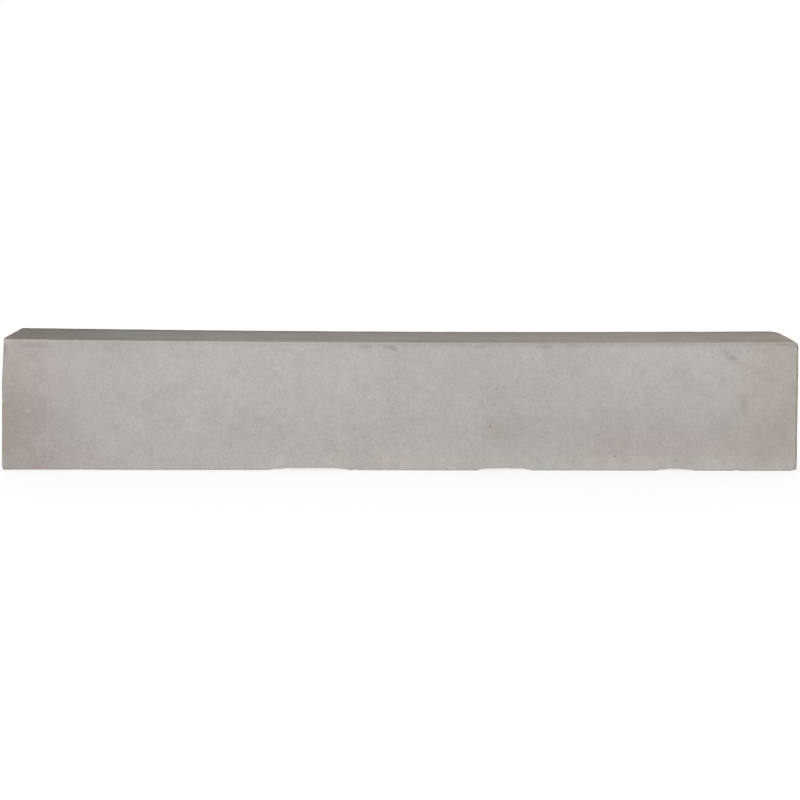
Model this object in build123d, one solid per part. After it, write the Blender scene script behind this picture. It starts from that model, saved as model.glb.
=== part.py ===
from build123d import *
import os

# Precast concrete edging unit with a flat top, which stands on edge along a path, drive or border.
# The real unit is one plain casting, with no inserts or reinforcement, so the model is one solid.
# Millimetres, +Z up. The origin is the middle of the bed face, X runs along the unit, and the front
# face, which the paving meets, looks towards -Y.

# Nominal size of the unit: 3 ft long, 6 in high and 2 in thick
length = 914.0
height = 150.0
thickness = 50.0

# The top is cast slightly hollow along its length, and rolls off at its right-hand end
top_hollow = 2.4
roll_off_length = 14.0
roll_off_drop = 1.0

# Rounding of the arrises: those round the bed and the top, and the upright ones
arris_radius = 1.5
upright_arris_radius = 2.5

# Two upright corners are worn round at the top, and less lower down: the turn about Z that takes the
# wear there from the back of the right-hand end, its radius at the top, and how far down it reaches
worn_corners = [(0.0, 10.0, 60.0), (180.0, 8.0, 50.0)]

# Shallow spalls along the lower front arris: middle along X, half length, and height up the front face
spalls = [(-106.0, 46.0, 2.8), (118.0, 32.0, 2.9), (315.0, 22.0, 2.2)]
spall_depth = 8.0

# How far from its nominal place an edge may be and still be picked out for rounding
pick_tolerance = 0.01

# What is cut away reaches this far outside the block, so that none of its faces lies on the block's own
cut_margin = 1.0

right_end = length / 2
back_face = thickness / 2
roll_start = right_end - roll_off_length


def cast_block():
    """The sharp-edged block: its outline seen from the front, given its thickness."""
    mid_height = height - top_hollow
    roll_start_height = mid_height + top_hollow * (roll_start / right_end) ** 2
    roll_off_foot = (right_end, roll_start_height - roll_off_drop)

    bed = Line((-right_end, 0), (right_end, 0))
    right_upright = Line((right_end, 0), roll_off_foot)
    hollow = ThreePointArc((-right_end, height), (0, mid_height), (roll_start, roll_start_height))
    roll_off = TangentArc(hollow @ 1, roll_off_foot, tangent=hollow % 1)
    left_upright = Line((-right_end, height), (-right_end, 0))

    outline = make_face(bed + right_upright + roll_off + hollow + left_upright)
    return extrude(Plane.XZ * outline, amount=thickness / 2, both=True)


def corner_waste(radius, level):
    """Plan, at this level, of what a rounding takes off the corner at the back of the right-hand end."""
    along_back = (right_end - radius, back_face)
    along_end = (right_end, back_face - radius)
    outer_end = right_end + cut_margin
    outer_back = back_face + cut_margin
    outside = Polyline(
        along_end,
        (outer_end, back_face - radius),
        (outer_end, outer_back),
        (right_end - radius, outer_back),
        along_back,
    )
    rounding = TangentArc(along_back, along_end, tangent=(1, 0))
    return Pos(0, 0, level) * make_face(outside + rounding)


def corner_wear(radius, depth):
    """What that corner loses to a rounding of this radius at the top, which shrinks to the upright arris."""
    wear_foot = height - depth
    arris = extrude(corner_waste(upright_arris_radius, -cut_margin), amount=wear_foot + cut_margin)
    top = corner_waste(radius, height + cut_margin)
    return arris + loft([corner_waste(upright_arris_radius, wear_foot), top])


def is_sharp_upright(edge):
    middle = edge.center()
    at_end = abs(middle.X) > right_end - pick_tolerance
    at_face = abs(middle.Y) > back_face - pick_tolerance
    return at_end and at_face


def is_rim(edge):
    """True for an edge round the bed or the top, but not for the seam where the roll-off starts."""
    return abs(edge.center().X - roll_start) > pick_tolerance


def soften_arrises(block):
    """Rounds the upright arrises first, then the rims of the bed and the top, which run into them."""
    block = fillet(block.edges().filter_by(Axis.Z).filter_by(is_sharp_upright), upright_arris_radius)
    bed = block.faces().sort_by(Axis.Z).first
    top_and_roll_off = block.faces().sort_by(Axis.Z)[-2:]
    rims = ShapeList(edge for face in [bed, *top_and_roll_off] for edge in face.edges())
    return fillet(rims.filter_by(is_rim), arris_radius)


def spall(middle, half_length, rise):
    """One lens-shaped flake, missing from the lower front arris."""
    lens = scale(Sphere(1), by=(half_length, spall_depth, rise))
    return Pos(middle, -back_face, 0) * lens


def edging_unit():
    block = cast_block()
    for turn, radius, depth in worn_corners:
        block -= Rot(0, 0, turn) * corner_wear(radius, depth)
    unit = soften_arrises(block)
    for middle, half_length, rise in spalls:
        unit -= spall(middle, half_length, rise)
    return unit


os.makedirs("parts", exist_ok=True)
export_step(edging_unit(), "parts/edging_unit.step")
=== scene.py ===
import math
import random

import bmesh
import bpy
import numpy as np
from mathutils import Matrix, Vector, kdtree, noise


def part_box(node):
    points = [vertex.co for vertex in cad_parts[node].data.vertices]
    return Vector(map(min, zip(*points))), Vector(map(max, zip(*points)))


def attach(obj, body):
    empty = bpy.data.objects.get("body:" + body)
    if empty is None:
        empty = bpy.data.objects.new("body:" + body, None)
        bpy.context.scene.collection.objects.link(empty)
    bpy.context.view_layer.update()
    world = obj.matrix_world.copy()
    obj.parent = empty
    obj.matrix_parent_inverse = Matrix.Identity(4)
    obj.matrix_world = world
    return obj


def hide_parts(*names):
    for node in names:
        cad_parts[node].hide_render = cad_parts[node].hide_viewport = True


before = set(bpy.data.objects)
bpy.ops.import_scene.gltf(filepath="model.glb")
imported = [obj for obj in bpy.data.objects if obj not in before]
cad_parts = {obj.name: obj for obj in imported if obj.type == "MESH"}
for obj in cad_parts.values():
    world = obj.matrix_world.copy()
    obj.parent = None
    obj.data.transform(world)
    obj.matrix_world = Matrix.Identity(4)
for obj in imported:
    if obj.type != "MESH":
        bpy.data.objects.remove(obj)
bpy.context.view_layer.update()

# Lengths are in metres, and mm turns a size in millimetres into metres
mm = 0.001

# The block's place and size come from its CAD node. The front face looks towards -Y
LOW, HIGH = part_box("edging_unit")
HALF_LENGTH = HIGH.x
HALF_THICKNESS = HIGH.y
HEIGHT = HIGH.z

# The shape's own dimensions, as in the part's source
TOP_HOLLOW = 2.4 * mm
ROLL_OFF_LENGTH = 14 * mm
ROLL_OFF_DROP = 1 * mm
ARRIS_RADIUS = 1.5 * mm
UPRIGHT_ARRIS_RADIUS = 2.5 * mm

# The arrises' radii vary by up to about this part of themselves, in stretches of about this length
ARRIS_VARIATION = 0.25
ARRIS_STRETCH = 14 * mm

# Upright corners worn round at the top: the end and face they are at, radius at the top and depth
WORN_CORNERS = [(1, 1, 10 * mm, 60 * mm), (-1, -1, 8 * mm, 50 * mm)]

# The upper rim is rounder by this factor at its front right corner, over this stretch both ways
ROUNDER_RIM = 2.8
ROUNDER_RIM_LENGTH = 20 * mm

# Shallow spalls along the lower front arris: middle along X, half length and height up the front face
SPALLS = [(-106 * mm, 46 * mm, 2.8 * mm), (118 * mm, 32 * mm, 2.9 * mm), (315 * mm, 22 * mm, 2.2 * mm)]
SPALL_DEPTH = 8 * mm

# Chips along each kind of arris, in mm: how many, half length, and how far they bite from the sharp
# edge. The upright at the back of the right-hand end is worn round instead
CHIPS = {
    "upper front": dict(count=7, length=(1.0, 3.0), bite=(1.1, 1.5)),
    "upper back": dict(count=16, length=(1.2, 5.0), bite=(1.2, 2.2)),
    "lower front": dict(count=12, length=(1.2, 4.5), bite=(1.2, 2.1)),
    "lower back": dict(count=18, length=(1.4, 6.0), bite=(1.3, 2.6)),
    "end": dict(count=3, length=(1.2, 4.0), bite=(1.3, 2.4)),
    "front upright": dict(count=4, length=(1.0, 2.5), bite=(1.5, 2.0)),
    "back upright": dict(count=7, length=(1.2, 5.0), bite=(1.9, 3.0)),
}

# Chips at the two front corners of the foot: the end they are at, and reach along X, Y and Z
FOOT_CORNER_CHIPS = [(1, (8 * mm, 3.5 * mm, 1.9 * mm)), (-1, (1.8 * mm, 4 * mm, 4.5 * mm))]

# Blowholes in each face, in mm: how many, and their smallest and largest radius
BLOWHOLES = {
    "front": dict(count=10, radius=(0.35, 0.6)),
    "back": dict(count=46, radius=(0.4, 1.5)),
    "end": dict(count=13, radius=(0.4, 1.3)),
    "top": dict(count=12, radius=(0.35, 0.8)),
    "bed": dict(count=24, radius=(0.4, 1.6)),
}

# Scattered blowholes keep this far from the arrises. Each is a ball's end, whose middle stands off the
# face by this part of its radius
BLOWHOLE_MARGIN = 6 * mm
BLOWHOLE_STAND_OFF = 0.45

# Most chips and blowholes are small: a random number from 0 to 1, to this power, gives their size between
# the smallest and the largest. A chip also varies by this much in how far it reaches from its arris
CHIP_SMALLNESS = 2
BLOWHOLE_SMALLNESS = 2.5
CHIP_UNEVENNESS = (0.85, 1.3)

# The pinholes that stand out on the front face: along X, above the bed, and radius
FRONT_PINHOLES = [
    (101 * mm, 51 * mm, 1.40 * mm),
    (245 * mm, 17 * mm, 1.25 * mm),
    (-193 * mm, 47 * mm, 0.75 * mm),
    (-92 * mm, 107 * mm, 0.85 * mm),
]

# Strokes on the front face: from and to along X and above the bed, half width, and strength
STROKES = {
    "smudge_and_shade_line": [
        ((371 * mm, 140 * mm), (381 * mm, 130 * mm), 4.0 * mm, 0.80),
        ((381 * mm, 130 * mm), (428 * mm, 105 * mm), 4.0 * mm, 0.45),
        ((392 * mm, 86 * mm), (396 * mm, 68 * mm), 3.0 * mm, 0.70),
        ((-49 * mm, 146 * mm), (-38 * mm, 145 * mm), 2.2 * mm, 0.90),
        ((-21 * mm, 144 * mm), (-14 * mm, 145 * mm), 2.2 * mm, 0.75),
        ((-13 * mm, 145 * mm), (-9 * mm, 142 * mm), 2.2 * mm, 1.30),
        ((84 * mm, 145 * mm), (92 * mm, 145 * mm), 2.2 * mm, 0.70),
        ((160 * mm, 145 * mm), (168 * mm, 145 * mm), 2.2 * mm, 0.70),
        ((-454.0 * mm, 142 * mm), (-453.0 * mm, 134 * mm), 3.0 * mm, 1.00),
        # These five strokes are painted shade: dark lines just under the upper front arris near the two ends
        ((-430 * mm, 142.6 * mm), (-425 * mm, 143.0 * mm), 1.8 * mm, 0.80),
        ((-421 * mm, 143.4 * mm), (-413 * mm, 143.0 * mm), 2.0 * mm, 0.90),
        ((-409 * mm, 143.2 * mm), (-404 * mm, 142.6 * mm), 1.6 * mm, 0.70),
        ((430 * mm, 147.6 * mm), (446 * mm, 147.2 * mm), 1.1 * mm, 1.20),
        ((446 * mm, 147.2 * mm), (455 * mm, 145.0 * mm), 1.1 * mm, 1.30),
    ],
    "scuff_and_highlight": [
        ((-152 * mm, 121 * mm), (-134 * mm, 116 * mm), 1.1 * mm, 1.20),
        ((-156 * mm, 131 * mm), (-143 * mm, 129 * mm), 1.0 * mm, 0.65),
        ((-129 * mm, 134 * mm), (-123 * mm, 128 * mm), 1.1 * mm, 0.50),
        ((-52 * mm, 130 * mm), (-50 * mm, 125 * mm), 1.3 * mm, 0.50),
        ((62 * mm, 58 * mm), (69 * mm, 53 * mm), 1.2 * mm, 0.45),
        # A painted highlight just under the upper front arris near the right-hand end
        ((404 * mm, 145.4 * mm), (419 * mm, 145.2 * mm), 1.2 * mm, 0.60),
    ],
}

# Broad marks: middle along X and above the bed, reach both ways, and strength. They are on the front
# face, and the dark, pale and pink ones go on around the ends to the back, where they are weaker
MARKS = {
    "dark": [
        (-457 * mm, 45 * mm, 70 * mm, 90 * mm, 0.48),
        (-445 * mm, 42 * mm, 82 * mm, 55 * mm, 0.52),
        (-170 * mm, 42 * mm, 220 * mm, 40 * mm, 0.10),
        (110 * mm, 60 * mm, 60 * mm, 60 * mm, 0.13),
        (112 * mm, 44 * mm, 18 * mm, 13 * mm, 0.30),
        (240 * mm, 40 * mm, 150 * mm, 34 * mm, 0.26),
        (414 * mm, 48 * mm, 48 * mm, 40 * mm, 0.36),
        (457 * mm, 70 * mm, 40 * mm, 110 * mm, 0.34),
        # These three are painted shade: dark lines just under the upper front arris, below its highlight
        (190 * mm, 148 * mm, 290 * mm, 2.6 * mm, 0.62),
        (-230 * mm, 147.5 * mm, 130 * mm, 2.6 * mm, 0.20),
        (-350 * mm, 146 * mm, 60 * mm, 8 * mm, 0.34),
        (-452 * mm, 8 * mm, 14 * mm, 14 * mm, 0.40),
        (-453.2 * mm, 138.5 * mm, 2.4 * mm, 5 * mm, 0.65),
    ],
    "pale": [
        (-130 * mm, 95 * mm, 170 * mm, 80 * mm, 0.34),
        (-110 * mm, 8 * mm, 130 * mm, 14 * mm, 0.34),
        (290 * mm, 125 * mm, 110 * mm, 38 * mm, 0.34),
        (345 * mm, 131 * mm, 42 * mm, 15 * mm, 0.45),
        # Painted light bounced from the floor: a pale band along the foot
        (320 * mm, 4 * mm, 200 * mm, 13 * mm, 0.75),
        # A painted highlight along the upper front arris near the left-hand end
        (-425 * mm, 149.5 * mm, 32 * mm, 1.3 * mm, 0.80),
        (-453 * mm, 149 * mm, 5 * mm, 5 * mm, 1.20),
        (453.0 * mm, 60 * mm, 0.9 * mm, 160 * mm, 1.30),
        # A painted highlight along the lower front arris
        (0 * mm, 2.9 * mm, 600 * mm, 1.3 * mm, 0.45),
    ],
    "pink": [
        (-440 * mm, 90 * mm, 46 * mm, 130 * mm, 1.02),
        (-395 * mm, 10 * mm, 60 * mm, 18 * mm, 0.80),
        (425 * mm, 90 * mm, 45 * mm, 90 * mm, 0.75),
        (320 * mm, 30 * mm, 90 * mm, 20 * mm, 0.68),
        (250 * mm, 28 * mm, 27 * mm, 17 * mm, 0.45),
        (-10 * mm, 5 * mm, 30 * mm, 14 * mm, 0.35),
        (230 * mm, 75 * mm, 120 * mm, 60 * mm, 0.09),
    ],
    "tan": [
        (-457 * mm, 45 * mm, 26 * mm, 80 * mm, 0.75),
        (-70 * mm, 15 * mm, 10 * mm, 5 * mm, 0.40),
        (-29 * mm, 15 * mm, 9 * mm, 4 * mm, 0.40),
        (105 * mm, 46 * mm, 9 * mm, 8 * mm, 0.65),
        (200 * mm, 14 * mm, 240 * mm, 5 * mm, 0.22),
        (420 * mm, 30 * mm, 40 * mm, 24 * mm, 0.60),
        (435 * mm, 100 * mm, 45 * mm, 60 * mm, 0.26),
        (453.2 * mm, 40 * mm, 1.9 * mm, 130 * mm, 1.30),
    ],
}
WRAPPED_MARKS = ["dark", "pale", "pink"]
WRAPPED_STRENGTH_AT_BACK = 0.5

# Painted shade along the arrises, where they turn away from the light: the two faces that meet there, how far
# it reaches from each, and strength
PAINTED_ARRIS_SHADE = [
    (("back", 5.6 * mm), ("top", 0.9 * mm), 0.80),
    (("back", 24 * mm), ("top", 12 * mm), 0.15),
    (("end", 2.0 * mm), ("top", 1.2 * mm), 0.34),
    (("right", 2.5 * mm), ("front", 0.9 * mm), 1.00),
    (("left", 1.6 * mm), ("front", 1.0 * mm), 0.20),
    (("front", 1.2 * mm), ("foot", 1.8 * mm), 0.42),
]

# Unevenness: how far it moves the surface, the size of its features, and octaves of noise. The first
# two are all over, and the last is only where the surface is broken
WAVINESS = (0.20 * mm, 150 * mm, 2)
UNEVENNESS = (0.07 * mm, 22 * mm, 3)
BROKEN_TEXTURE = (0.25 * mm, 2.6 * mm, 2)

# A surface looks broken where a chip or spall took away more than the first depth, and fully so at the
# second
BROKEN_FROM = 0.05 * mm
BROKEN_AT = 0.5 * mm

# The look of the top starts this far below the sharp rim, and is complete this far in from it
TOP_STARTS_BELOW = 0.4 * mm
TOP_COMPLETE_AT = 1.6 * mm

# The wear on the arrises fades over about this width
WEAR_WIDTH = 1.6 * mm

# The front face's own marks fade out over this depth behind it
FRONT_MARK_DEPTH = 3 * mm

# The mesh is fine at the arrises, where it bends, and coarser on the flats between them
FINE_STEP = 0.5 * mm
COARSE_STEP = 3.2 * mm
STEP_GROWTH = 1.25

# Near a chip or blowhole, each edge longer than this is cut in this many places
LONGEST_AT_SCOOP = 1.2 * mm
CUTS_AT_SCOOP = 4

# Places that are closer than this are the same place, and TINY only keeps a division from failing
SAME_PLACE = 1e-7
TINY = 1e-12

SEED = 6


# ---------------------------------------------------------------------------------------------------
# The block's mesh: a box of quads, cut finer where something small happens, then shaped
# ---------------------------------------------------------------------------------------------------

def stations(low, high):
    """Places from low to high, close together near both ends and further apart between them."""
    half = (high - low) / 2
    steps = [0.0]
    step = FINE_STEP
    while steps[-1] < half:
        steps.append(steps[-1] + step)
        step = min(step * STEP_GROWTH, COARSE_STEP)
    steps = np.array(steps) * half / steps[-1]
    return [*(low + steps), *(high - steps[-2::-1])]


def box_of_quads():
    """The block with sharp edges, as a closed box of quads that meet at the stations."""
    places = [stations(LOW[axis], HIGH[axis]) for axis in range(3)]
    last = [len(p) - 1 for p in places]
    box = bmesh.new()
    made = {}

    def vertex(index):
        if index not in made:
            made[index] = box.verts.new([places[axis][index[axis]] for axis in range(3)])
        return made[index]

    for across in range(3):
        first, second = (across + 1) % 3, (across + 2) % 3
        for side in (0, last[across]):
            for i in range(last[first]):
                for j in range(last[second]):
                    corners = [(i, j), (i + 1, j), (i + 1, j + 1), (i, j + 1)]
                    if side == 0:
                        corners.reverse()
                    quad = []
                    for a, b in corners:
                        index = [0, 0, 0]
                        index[across], index[first], index[second] = side, a, b
                        quad.append(vertex(tuple(index)))
                    box.faces.new(quad)
    return box


def refine(box, scoops):
    """Cuts the long edges near each chip and blowhole, to give it points to shape."""
    box.faces.ensure_lookup_table()
    box.faces.index_update()
    box.edges.index_update()
    tree = kdtree.KDTree(len(box.faces))
    for face in box.faces:
        tree.insert(face.calc_center_median(), face.index)
    tree.balance()
    long_edges = set()
    for scoop in scoops:
        if scoop.kind == "spall":
            continue
        reach = max(scoop.radii) + COARSE_STEP
        for _, index, _ in tree.find_range(Vector(scoop.place), reach):
            edges = box.faces[index].edges
            long_edges.update(edge for edge in edges if edge.calc_length() > LONGEST_AT_SCOOP)
    ordered = sorted(long_edges, key=lambda edge: edge.index)
    bmesh.ops.subdivide_edges(box, edges=ordered, cuts=CUTS_AT_SCOOP, use_grid_fill=True)


def fractal(points, size, octaves=3):
    """Smooth noise, about -1 to 1, with features of this size, for each point."""
    return np.array([noise.fractal(Vector(p) / size, 1.0, 2.0, octaves) for p in points])


def smoothstep(value, start, end):
    """0 up to start, then smoothly to 1 at end."""
    t = np.clip((value - start) / (end - start), 0, 1)
    return t * t * (3 - 2 * t)


def round_arrises(sharp):
    """Moves the points of the sharp box so that its upright corners and its two rims are rounded."""
    half = np.array([HALF_LENGTH, HALF_THICKNESS])
    z = sharp[:, 2]
    uneven = 1 + ARRIS_VARIATION * fractal(sharp, ARRIS_STRETCH)

    side = np.sign(sharp[:, :2])
    upright = UPRIGHT_ARRIS_RADIUS * uneven
    for end, face, radius, depth in WORN_CORNERS:
        worn = np.interp(z, [HEIGHT - depth, HEIGHT], [UPRIGHT_ARRIS_RADIUS, radius])
        upright = np.where((side[:, 0] == end) & (side[:, 1] == face), worn, upright)
    upright = upright[:, None]
    from_middle = np.abs(sharp[:, :2])
    beyond = np.clip(from_middle - (half - upright), 0, None)
    reach = np.maximum(np.linalg.norm(beyond, axis=1), TINY)[:, None]
    in_corner = beyond.min(axis=1, keepdims=True) > 0
    squeeze = np.where(in_corner, beyond.max(axis=1, keepdims=True) / reach, 1.0)
    plan = side * (np.minimum(from_middle, half - upright) + beyond * squeeze)

    inset = half - from_middle
    nearest_side = np.where(inset[:, :1] < inset[:, 1:], [[1.0, 0.0]], [[0.0, 1.0]])
    inward = -side * np.where(in_corner, beyond / reach, nearest_side)

    at_right = smoothstep(sharp[:, 0], HALF_LENGTH - ROUNDER_RIM_LENGTH, HALF_LENGTH)
    at_front = smoothstep(-sharp[:, 1], HALF_THICKNESS - ROUNDER_RIM_LENGTH, HALF_THICKNESS)
    rounder = np.where(z > HEIGHT / 2, 1 + (ROUNDER_RIM - 1) * at_right * at_front, 1.0)
    rim = ARRIS_RADIUS * uneven * rounder
    in_from_side = np.minimum(inset.min(axis=1), rim)
    in_from_level = np.minimum(np.minimum(z, HEIGHT - z), rim)
    turn = np.stack([rim - in_from_side, rim - in_from_level], axis=1)
    turn /= np.maximum(np.linalg.norm(turn, axis=1), TINY)[:, None]
    move_in = rim * (1 - turn[:, 0]) - in_from_side
    move_level = rim * (1 - turn[:, 1]) - in_from_level
    plan += inward * move_in[:, None]
    level = z + np.where(z > HEIGHT / 2, -move_level, move_level)
    return np.column_stack([plan, level])


def lower_top(points):
    """Gives the top its long shallow hollow, and its roll-off at the right-hand end."""
    x = points[:, 0]
    roll_start = HALF_LENGTH - ROLL_OFF_LENGTH
    hollow = TOP_HOLLOW * (1 - (np.minimum(x, roll_start) / HALF_LENGTH) ** 2)
    roll_off = ROLL_OFF_DROP * (np.clip(x - roll_start, 0, None) / ROLL_OFF_LENGTH) ** 2
    points[:, 2] *= 1 - (hollow + roll_off) / HEIGHT


class Scoop:
    """An ellipsoid that takes material away: the points inside it are pushed along inward to its far side."""

    def __init__(self, place, radii, inward, kind):
        self.place = np.array(place, float)
        self.radii = np.array(radii, float)
        self.inward = np.array(inward, float)
        self.kind = kind

    def push(self, points):
        """Moves the points that are inside, and tells how far each point moved."""
        offset = (points - self.place) / self.radii
        step = self.inward / self.radii
        a = step @ step
        b = offset @ step
        c = (offset * offset).sum(axis=1) - 1
        inside = c < 0
        depth = np.zeros(len(points))
        depth[inside] = (-b[inside] + np.sqrt(b[inside] ** 2 - a * c[inside])) / a
        points += depth[:, None] * self.inward
        return depth * np.linalg.norm(self.inward)


def spalls():
    """The three lens-shaped flakes missing from the lower front arris."""
    for middle, half_length, rise in SPALLS:
        place = (middle, -HALF_THICKNESS, 0)
        yield Scoop(place, (half_length, SPALL_DEPTH, rise), (0, SPALL_DEPTH, rise), "spall")


def blowhole(place, inward, radius):
    """A shallow bowl, from a ball whose middle stands a little off the face."""
    inward = np.array(inward, float)
    return Scoop(np.array(place) - inward * radius * BLOWHOLE_STAND_OFF, [radius] * 3, inward, "pit")


def blowholes(dice):
    """The pinholes that stand out on the front, and others scattered over every face, most of them small."""
    for x, z, radius in FRONT_PINHOLES:
        yield blowhole((x, -HALF_THICKNESS, z), (0, 1, 0), radius)
    faces = [
        ("front", 1, -1), ("back", 1, 1), ("end", 0, -1), ("end", 0, 1), ("top", 2, 1), ("bed", 2, -1),
    ]
    for name, axis, side in faces:
        smallest, largest = BLOWHOLES[name]["radius"]
        for _ in range(BLOWHOLES[name]["count"]):
            place = [dice.uniform(LOW[a] + BLOWHOLE_MARGIN, HIGH[a] - BLOWHOLE_MARGIN) for a in range(3)]
            place[axis] = HIGH[axis] if side > 0 else LOW[axis]
            inward = [0, 0, 0]
            inward[axis] = -side
            radius = smallest + (largest - smallest) * dice.random() ** BLOWHOLE_SMALLNESS
            yield blowhole(place, inward, radius * mm)


def chips(dice):
    """Chips along every arris but the upright that is worn round, most of them small."""
    arrises = [
        ("upper front", 0, (0, -1, 1)), ("upper back", 0, (0, 1, 1)),
        ("lower front", 0, (0, -1, -1)), ("lower back", 0, (0, 1, -1)),
        ("end", 1, (-1, 0, 1)), ("end", 1, (1, 0, 1)), ("end", 1, (-1, 0, -1)), ("end", 1, (1, 0, -1)),
        ("front upright", 2, (-1, -1, 0)), ("front upright", 2, (1, -1, 0)),
        ("back upright", 2, (-1, 1, 0)),
    ]
    for name, along, outward in arrises:
        shortest, longest = CHIPS[name]["length"]
        least, most = CHIPS[name]["bite"]
        for _ in range(CHIPS[name]["count"]):
            size = dice.random() ** CHIP_SMALLNESS
            place = [HIGH[a] if outward[a] > 0 else LOW[a] for a in range(3)]
            place[along] = dice.uniform(LOW[along], HIGH[along])
            bite = (least + (most - least) * size) * mm
            radii = [bite * dice.uniform(*CHIP_UNEVENNESS) for _ in range(3)]
            radii[along] = (shortest + (longest - shortest) * size) * mm
            inward = [-outward[a] * radii[a] if a != along else 0.0 for a in range(3)]
            yield Scoop(place, radii, inward, "chip")


def foot_corner_chips():
    """The chips at the two front corners of the foot."""
    for end, radii in FOOT_CORNER_CHIPS:
        place = (end * HALF_LENGTH, -HALF_THICKNESS, 0)
        yield Scoop(place, radii, (-end * radii[0], radii[1], radii[2]), "chip")


def displace(box, points):
    """Moves the vertices of the box to these points."""
    for vertex, place in zip(box.verts, points):
        vertex.co = place


def carve(points, scoops):
    """Takes the scoops out, in place, and tells how far each point is into a pit and into a broken area."""
    pit = np.zeros(len(points))
    broken = np.zeros(len(points))
    for scoop in scoops:
        near = np.abs(points - scoop.place).max(axis=1) < scoop.radii.max()
        moved = points[near]
        depth = scoop.push(moved)
        points[near] = moved
        if scoop.kind == "pit":
            pit[near] = np.maximum(pit[near], depth / scoop.radii[0])
        else:
            broken[near] = np.maximum(broken[near], smoothstep(depth, BROKEN_FROM, BROKEN_AT))
    return pit, broken


def layer(points, height, size, octaves):
    """One layer of unevenness: how far it moves each point."""
    return height * fractal(points, size, octaves)


def roughen(box, points, broken):
    """Adds the casting's gentle unevenness along the normals, and the coarser texture where it is broken."""
    displace(box, points)
    box.normal_update()
    normals = np.array([vertex.normal for vertex in box.verts])
    uneven = layer(points, *WAVINESS) + layer(points, *UNEVENNESS)
    coarse = broken * layer(points, *BROKEN_TEXTURE)
    points += normals * (uneven + coarse)[:, None]
    points[:, 2] = np.clip(points[:, 2], 0, HEIGHT)
    displace(box, points)


def split_many_sided(box):
    """Splits the faces that refine left with more than four corners into triangles with no slivers."""
    many_sided = [face for face in box.faces if len(face.verts) > 4]
    bmesh.ops.triangulate(box, faces=many_sided, ngon_method="BEAUTY")


def distance_to_stroke(x, z, start, end):
    """How far each point is from the straight stroke from start to end, seen from the front."""
    along = np.array(end) - np.array(start)
    offset = np.stack([x - start[0], z - start[1]], axis=1)
    t = np.clip(offset @ along / (along @ along), 0, 1)
    return np.linalg.norm(offset - t[:, None] * along, axis=1)


def painted_arris_shade(x, y, z):
    """How strongly each point belongs to the painted shade along the arrises."""
    distance = {
        "left": HALF_LENGTH + x, "right": HALF_LENGTH - x, "end": HALF_LENGTH - np.abs(x),
        "front": HALF_THICKNESS + y, "back": HALF_THICKNESS - y, "foot": z, "top": HEIGHT - z,
    }
    mask = np.zeros(len(x))
    for (first, first_reach), (second, second_reach), strength in PAINTED_ARRIS_SHADE:
        spread = (distance[first] / first_reach) ** 2 + (distance[second] / second_reach) ** 2
        mask += strength * np.exp(-spread)
    return mask


def top_and_edge(x, y, z):
    """How strongly each point belongs to the top, and to an arris, from 0 to 1."""
    from_end = HALF_LENGTH - np.abs(x)
    from_face = HALF_THICKNESS - np.abs(y)
    on_top = z >= HEIGHT - SAME_PLACE
    past_rim = np.where(on_top, np.minimum(from_end, from_face), z - HEIGHT)
    gaps = np.sort(np.stack([from_end, from_face, np.minimum(z, HEIGHT - z)], axis=1), axis=1)
    second_nearest_face = gaps[:, 1]
    top = smoothstep(past_rim, -TOP_STARTS_BELOW, TOP_COMPLETE_AT)
    edge = np.exp(-(second_nearest_face / WEAR_WIDTH) ** 2)
    return top, edge


def surface_masks(sharp):
    """How strongly each point belongs to the top, the arrises, the painted shade along the arrises, and each
    kind of mark.
    """
    x, y, z = sharp.T
    masks = {"painted_arris_shade": painted_arris_shade(x, y, z)}
    masks["top"], masks["edge"] = top_and_edge(x, y, z)

    front = smoothstep(-y, HALF_THICKNESS - FRONT_MARK_DEPTH, HALF_THICKNESS)
    wrapped = np.interp(-y, [-HALF_THICKNESS, HALF_THICKNESS], [WRAPPED_STRENGTH_AT_BACK, 1.0])
    for kind, marks in MARKS.items():
        mask = np.zeros(len(x))
        for middle_x, middle_z, reach_x, reach_z, strength in marks:
            mask += strength * np.exp(-((x - middle_x) / reach_x) ** 2 - ((z - middle_z) / reach_z) ** 2)
        masks[kind] = mask * (wrapped if kind in WRAPPED_MARKS else front)
    for kind, strokes in STROKES.items():
        mask = np.zeros(len(x))
        for start, end, width, strength in strokes:
            mask += strength * np.exp(-(distance_to_stroke(x, z, start, end) / width) ** 2)
        masks[kind] = mask * front
    return masks


def build_block():
    """The whole casting as one closed mesh, with masks for its material."""
    dice = random.Random(SEED)
    box = box_of_quads()
    scoops = [*spalls(), *foot_corner_chips(), *chips(dice), *blowholes(dice)]
    refine(box, scoops)

    sharp = np.array([vertex.co for vertex in box.verts])
    points = round_arrises(sharp)
    lower_top(points)
    pit, broken = carve(points, scoops)
    roughen(box, points, broken)
    split_many_sided(box)

    mesh = bpy.data.meshes.new("concrete_edging")
    box.to_mesh(mesh)
    box.free()
    mesh.shade_smooth()
    for name, values in dict(surface_masks(sharp), pit=pit, broken=broken).items():
        attribute = mesh.attributes.new(name, "FLOAT", "POINT")
        attribute.data.foreach_set("value", np.clip(values, 0, 1).astype(np.float32))
    return bpy.data.objects.new("concrete_edging", mesh)


# ---------------------------------------------------------------------------------------------------
# Materials
# ---------------------------------------------------------------------------------------------------

def colour(red, green, blue):
    return (red, green, blue, 1.0)


# The faces: neutral grey with faint warm clouds, and the tints of the marks, of the smudges and painted shade
# lines, and of broken places
NEUTRAL = colour(0.3395, 0.3250, 0.3080)
WARM = colour(0.3450, 0.3242, 0.3072)
PINK = colour(0.347, 0.304, 0.292)
TAN = colour(0.341, 0.304, 0.264)
SMUDGE_AND_SHADE_TINT = colour(0.19, 0.17, 0.16)
BROKEN = colour(0.38, 0.36, 0.33)

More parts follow.
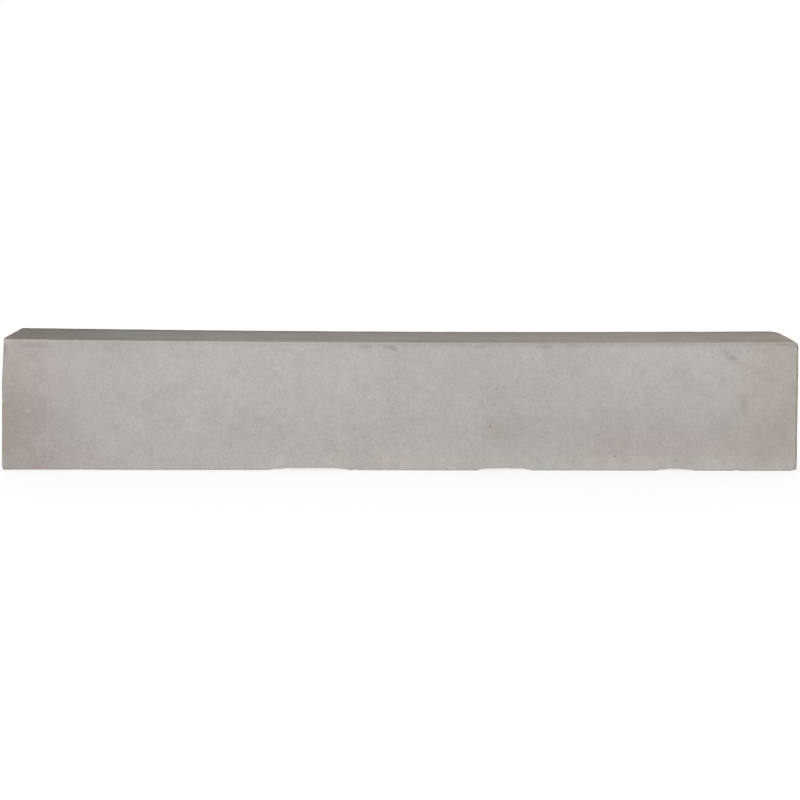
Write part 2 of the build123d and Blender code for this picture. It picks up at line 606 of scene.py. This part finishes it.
# The top's darker and paler streaks, from its left-hand end to its right-hand end. They are darker than the
# faces partly as the top's own browner tone and partly as painted shade, for a top lit less than the front
TOP_STREAKS_AND_PAINTED_SHADE = {
    "left": (colour(0.163, 0.144, 0.125), colour(0.191, 0.172, 0.156)),
    "middle": (colour(0.213, 0.201, 0.174), colour(0.241, 0.230, 0.210)),
    "right": (colour(0.258, 0.219, 0.183), colour(0.283, 0.250, 0.219)),
}

# How much paler each of these makes the concrete, or darker where it is negative. The darkening of the
# arrises and of the hollows is painted shade, and some dark and pale marks and one scuff are painted shade
# and highlights
SHADES = {"dark": -0.25, "pale": 0.10, "edge": 0.10, "painted_arris_shade": -0.60, "scuff_and_highlight": 0.14, "hollow": -0.60}

# How far these go towards their own tint
SMUDGE_AND_SHADE_COVER = 0.75
BROKEN_COVER = 0.30

# The mottle's layers: the size of the features in millimetres, and how much the shade varies
MOTTLE = [(130, 0.12), (42, 0.14), (16, 0.13), (7, 0.15), (3.6, 0.22), (2.0, 0.14)]

# Grains of sand, and tiny pores: how far apart, and a pore's radius
GRAIN_SIZE = 1.3 * mm
PORE_SPACING = 7 * mm
PORE_RADIUS = 0.7 * mm

# How deep the finest relief is, which is in the material
RELIEF_DEPTH = 0.18 * mm


class Tree:
    """Adds nodes to one material, setting or linking the inputs of each in a single call."""

    def __init__(self, name):
        self.material = bpy.data.materials.new(name)
        self.material.use_nodes = True
        self.tree = self.material.node_tree
        self.tree.nodes.clear()

    def node(self, kind, inputs, **settings):
        made = self.tree.nodes.new("ShaderNode" + kind)
        for name, value in settings.items():
            setattr(made, name, value)
        for socket, value in inputs.items():
            if isinstance(value, bpy.types.NodeSocket):
                self.tree.links.new(value, made.inputs[socket])
            else:
                made.inputs[socket].default_value = value
        return made

    def noise(self, where, size, detail=2.0, roughness=0.5, distortion=0.0):
        """Noise from 0 to 1 with features of this size."""
        inputs = {"Vector": where, "Scale": 1 / size, "Detail": detail, "Roughness": roughness,
                  "Distortion": distortion}
        return self.node("TexNoise", inputs).outputs["Fac"]

    def stretched(self, where, factors):
        """The same place in a space stretched by these factors."""
        return self.node("VectorMath", {0: where, 1: factors}, operation="MULTIPLY").outputs[0]

    def maths(self, operation, *values):
        return self.node("Math", dict(enumerate(values)), operation=operation).outputs[0]

    def ramp(self, value, start, end, low=0.0, high=1.0):
        """Low up to start, then smoothly to high at end."""
        inputs = {"Value": value, "From Min": start, "From Max": end, "To Min": low, "To Max": high}
        return self.node("MapRange", inputs, interpolation_type="SMOOTHSTEP").outputs["Result"]

    def attribute(self, name):
        return self.node("Attribute", {}, attribute_name=name).outputs["Fac"]

    def product(self, first, second):
        return self.maths("MULTIPLY", first, second)

    def mix(self, factor, first, second):
        """The first colour where the factor is 0, and the second where it is 1."""
        return self.node("Mix", {0: factor, 6: first, 7: second}, data_type="RGBA").outputs[2]

    def scale(self, colour, factor):
        """The colour times this factor."""
        return self.node("VectorMath", {0: colour, "Scale": factor}, operation="SCALE").outputs[0]

    def shade(self, colour, kind, mask):
        """The colour made paler or darker by its kind's shade where the mask is 1."""
        return self.scale(colour, self.maths("MULTIPLY_ADD", mask, SHADES[kind], 1.0))


def cloudy_body(tree, place):
    """The faces' colour without their grain: grey with faint warm clouds, and the broad marks over them,
    among which are painted shade lines under the upper front arris, painted highlights along the arrises, and
    painted light from the floor along the foot.
    """
    clouds = tree.noise(place, 70 * mm, 3.0, 0.55)
    body = tree.mix(tree.ramp(clouds, 0.38, 0.62), NEUTRAL, WARM)

    ragged = tree.ramp(tree.noise(place, 30 * mm, 4.0, 0.6), 0.30, 0.62, 0.60, 1.05)
    for kind, tint in [("pink", PINK), ("tan", TAN)]:
        body = tree.mix(tree.product(tree.attribute(kind), ragged), body, tint)
    body = tree.shade(body, "dark", tree.product(tree.attribute("dark"), ragged))
    return tree.shade(body, "pale", tree.attribute("pale"))


def mottle(tree, place):
    """A factor near 1 that varies by the strength of each layer."""
    factor = 1.0
    for size, strength in MOTTLE:
        blotches = tree.noise(place, size * mm, 2.0)
        factor = tree.maths("MULTIPLY_ADD", blotches, strength, tree.maths("SUBTRACT", factor, strength / 2))
    return factor


def sand(tree, place):
    """A factor that makes single grains of sand stand out, some a little darker and some a little lighter."""
    cells = tree.node("TexVoronoi", {"Vector": place, "Scale": 1 / GRAIN_SIZE}).outputs["Color"]
    grain = tree.node("SeparateColor", {0: cells}).outputs[0]
    dark = tree.ramp(grain, 0.92, 1.00, 1.0, 0.90)
    light = tree.ramp(grain, 0.00, 0.10, 1.07, 1.0)
    return tree.product(dark, light)


def pores(tree, place):
    """1 in the middle of tiny scattered pores, in about one cell in eight, and 0 between them."""
    cells = tree.node("TexVoronoi", {"Vector": place, "Scale": 1 / PORE_SPACING})
    has_pore = tree.ramp(tree.node("SeparateColor", {0: cells.outputs["Color"]}).outputs[1], 0.86, 0.90)
    radius = PORE_RADIUS / PORE_SPACING
    return tree.product(has_pore, tree.ramp(cells.outputs["Distance"], 0.3 * radius, radius, 1.0, 0.0))


def top_tone_and_painted_shade(tree, place):
    """The top's colour: brown and dark, the darkness partly painted shade, in lengthwise streaks, greyer in
    the middle and warmer towards +X.
    """
    lengthwise = tree.stretched(place, (0.10, 1.0, 1.0))
    streaks = tree.ramp(tree.noise(lengthwise, 8 * mm, 3.0, 0.6), 0.3, 0.7)
    left, middle, right = (tree.mix(streaks, *pair) for pair in TOP_STREAKS_AND_PAINTED_SHADE.values())
    along = tree.node("SeparateXYZ", {0: place}).outputs["X"]
    top = tree.mix(tree.ramp(along, -1.0 * HALF_LENGTH, -0.4 * HALF_LENGTH), left, middle)
    return tree.mix(tree.ramp(along, -0.25 * HALF_LENGTH, 0.95 * HALF_LENGTH), top, right)


def wear_and_painted_shade(tree, place, body):
    """The colour with worn arrises, painted shade in some of them, smudges and painted shade lines, scuffs
    and a painted highlight, and broken places over it.
    """
    stretches = tree.ramp(tree.noise(place, 60 * mm, 4.0), 0.4, 0.6)
    body = tree.shade(body, "edge", tree.product(tree.attribute("edge"), stretches))
    uneven = tree.ramp(tree.noise(place, 25 * mm, 4.0, 0.6), 0.35, 0.65, 0.6, 1.1)
    # Darkens the arrises: painted shade
    body = tree.shade(body, "painted_arris_shade", tree.product(tree.attribute("painted_arris_shade"), uneven))
    patches = tree.ramp(tree.noise(place, 7 * mm, 4.0, 0.7), 0.3, 0.7, 0.25, 0.85)
    # Smudges, and painted shade lines under the upper front arris
    smudge_and_shade_line = tree.product(tree.attribute("smudge_and_shade_line"), patches)
    body = tree.mix(tree.product(smudge_and_shade_line, SMUDGE_AND_SHADE_COVER), body, SMUDGE_AND_SHADE_TINT)
    # Paler scuffs, and a painted highlight
    body = tree.shade(body, "scuff_and_highlight", tree.attribute("scuff_and_highlight"))
    return tree.mix(tree.product(tree.attribute("broken"), BROKEN_COVER), body, BROKEN)


def fine_relief(tree, place, pore):
    """The bumps that are too small for the mesh: lumps, sand and pores."""
    lumps = tree.noise(place, 8 * mm, 3.0, 0.55)
    height = tree.maths("MULTIPLY_ADD", lumps, 2.5, tree.noise(place, 1.6 * mm, 2.0))
    height = tree.maths("MULTIPLY_ADD", pore, -1.5, height)
    return tree.node("Bump", {"Height": height, "Distance": RELIEF_DEPTH, "Strength": 1.0}).outputs[0]


def concrete():
    """Dry pressed concrete, with fine sand, a few pores, worn arrises, a browner trowelled top that is darker
    partly as painted shade, and painted shade in the arrises, pits and pores.
    """
    tree = Tree("concrete")
    place = tree.node("TexCoord", {}).outputs["Object"]
    pore = pores(tree, place)

    body = tree.mix(tree.attribute("top"), cloudy_body(tree, place), top_tone_and_painted_shade(tree, place))
    body = tree.scale(body, mottle(tree, place))
    body = tree.scale(body, sand(tree, place))
    body = wear_and_painted_shade(tree, place, body)
    # Pits and pores are darkened: painted shade in the hollows
    painted_pit_shade = tree.ramp(tree.attribute("pit"), 0.08, 0.55)
    body = tree.shade(body, "hollow", tree.maths("MAXIMUM", pore, painted_pit_shade))

    roughness = tree.ramp(tree.noise(place, 5 * mm, 3.0), 0.3, 0.7, 0.80, 0.96)
    shader = tree.node("BsdfPrincipled", {
        "Base Color": body, "Roughness": roughness, "Normal": fine_relief(tree, place, pore),
        "Specular IOR Level": 0.25,
    })
    tree.node("OutputMaterial", {"Surface": shader.outputs[0]})
    return tree.material


def pale_floor():
    """A plain studio floor that glows, so that it fades into the white backdrop."""
    tree = Tree("pale_floor")
    shader = tree.node("BsdfPrincipled", {
        "Base Color": colour(0.3, 0.3, 0.3), "Roughness": 0.9, "Specular IOR Level": 0.1,
        "Emission Color": colour(1.0, 1.0, 1.0), "Emission Strength": 0.7,
    })
    tree.node("OutputMaterial", {"Surface": shader.outputs[0]})
    return tree.material


# ---------------------------------------------------------------------------------------------------
# The scene
# ---------------------------------------------------------------------------------------------------

# The floor reaches this far each way
FLOOR_HALF_SIZE = 18.0

# The large soft box in front of the block: its place, width, height and power in watts
SOFT_BOX_PLACE = (-0.45, -2.6, 0.9)
SOFT_BOX_WIDTH = 2.2
SOFT_BOX_HEIGHT = 1.0
SOFT_BOX_POWER = 26

# The camera: its lens in millimetres, how far the lens is shifted, in widths of the picture, its place,
# and how far it is turned left, tilted down and rolled, in degrees
LENS = 34.66
LENS_SHIFT = -0.32
CAMERA_PLACE = (-0.0183, -0.9027, 0.3889)
CAMERA_TURN = -0.83
CAMERA_TILT = 0.91
CAMERA_ROLL = 0.46


def show(obj):
    """Puts the object in the scene."""
    bpy.context.scene.collection.objects.link(obj)
    return obj


def add_floor():
    half = FLOOR_HALF_SIZE
    mesh = bpy.data.meshes.new("floor")
    corners = [(-half, -half, 0), (half, -half, 0), (half, half, 0), (-half, half, 0)]
    mesh.from_pydata(corners, [], [(0, 1, 2, 3)])
    mesh.materials.append(pale_floor())
    show(bpy.data.objects.new("floor", mesh))


def add_soft_box():
    data = bpy.data.lights.new("front_soft_box", "AREA")
    data.shape = "RECTANGLE"
    data.size = SOFT_BOX_WIDTH
    data.size_y = SOFT_BOX_HEIGHT
    data.energy = SOFT_BOX_POWER
    light = show(bpy.data.objects.new("front_soft_box", data))
    light.location = SOFT_BOX_PLACE
    towards_block = Vector((0, 0, HEIGHT / 2)) - Vector(SOFT_BOX_PLACE)
    light.rotation_euler = towards_block.to_track_quat("-Z", "Y").to_euler()


def add_white_surroundings():
    world = bpy.data.worlds.new("studio")
    world.use_nodes = True
    background = world.node_tree.nodes["Background"]
    background.inputs["Color"].default_value = colour(1.0, 1.0, 1.0)
    background.inputs["Strength"].default_value = 1.0
    bpy.context.scene.world = world


def add_camera():
    """Puts the camera in front of the block, a little left of its middle, and shifts its lens down to it."""
    data = bpy.data.cameras.new("camera")
    data.lens = LENS
    data.shift_y = LENS_SHIFT
    camera = show(bpy.data.objects.new("camera", data))
    level = math.pi / 2
    camera.matrix_world = (
        Matrix.Translation(Vector(CAMERA_PLACE))
        @ Matrix.Rotation(math.radians(CAMERA_TURN), 4, "Z")
        @ Matrix.Rotation(level - math.radians(CAMERA_TILT), 4, "X")
        @ Matrix.Rotation(math.radians(CAMERA_ROLL), 4, "Z")
    )
    bpy.context.scene.camera = camera


block = show(build_block())
block.data.materials.append(concrete())
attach(block, "root")
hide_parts("edging_unit")

add_floor()
add_white_surroundings()
add_soft_box()
add_camera()
bpy.context.scene.view_settings.view_transform = "Standard"
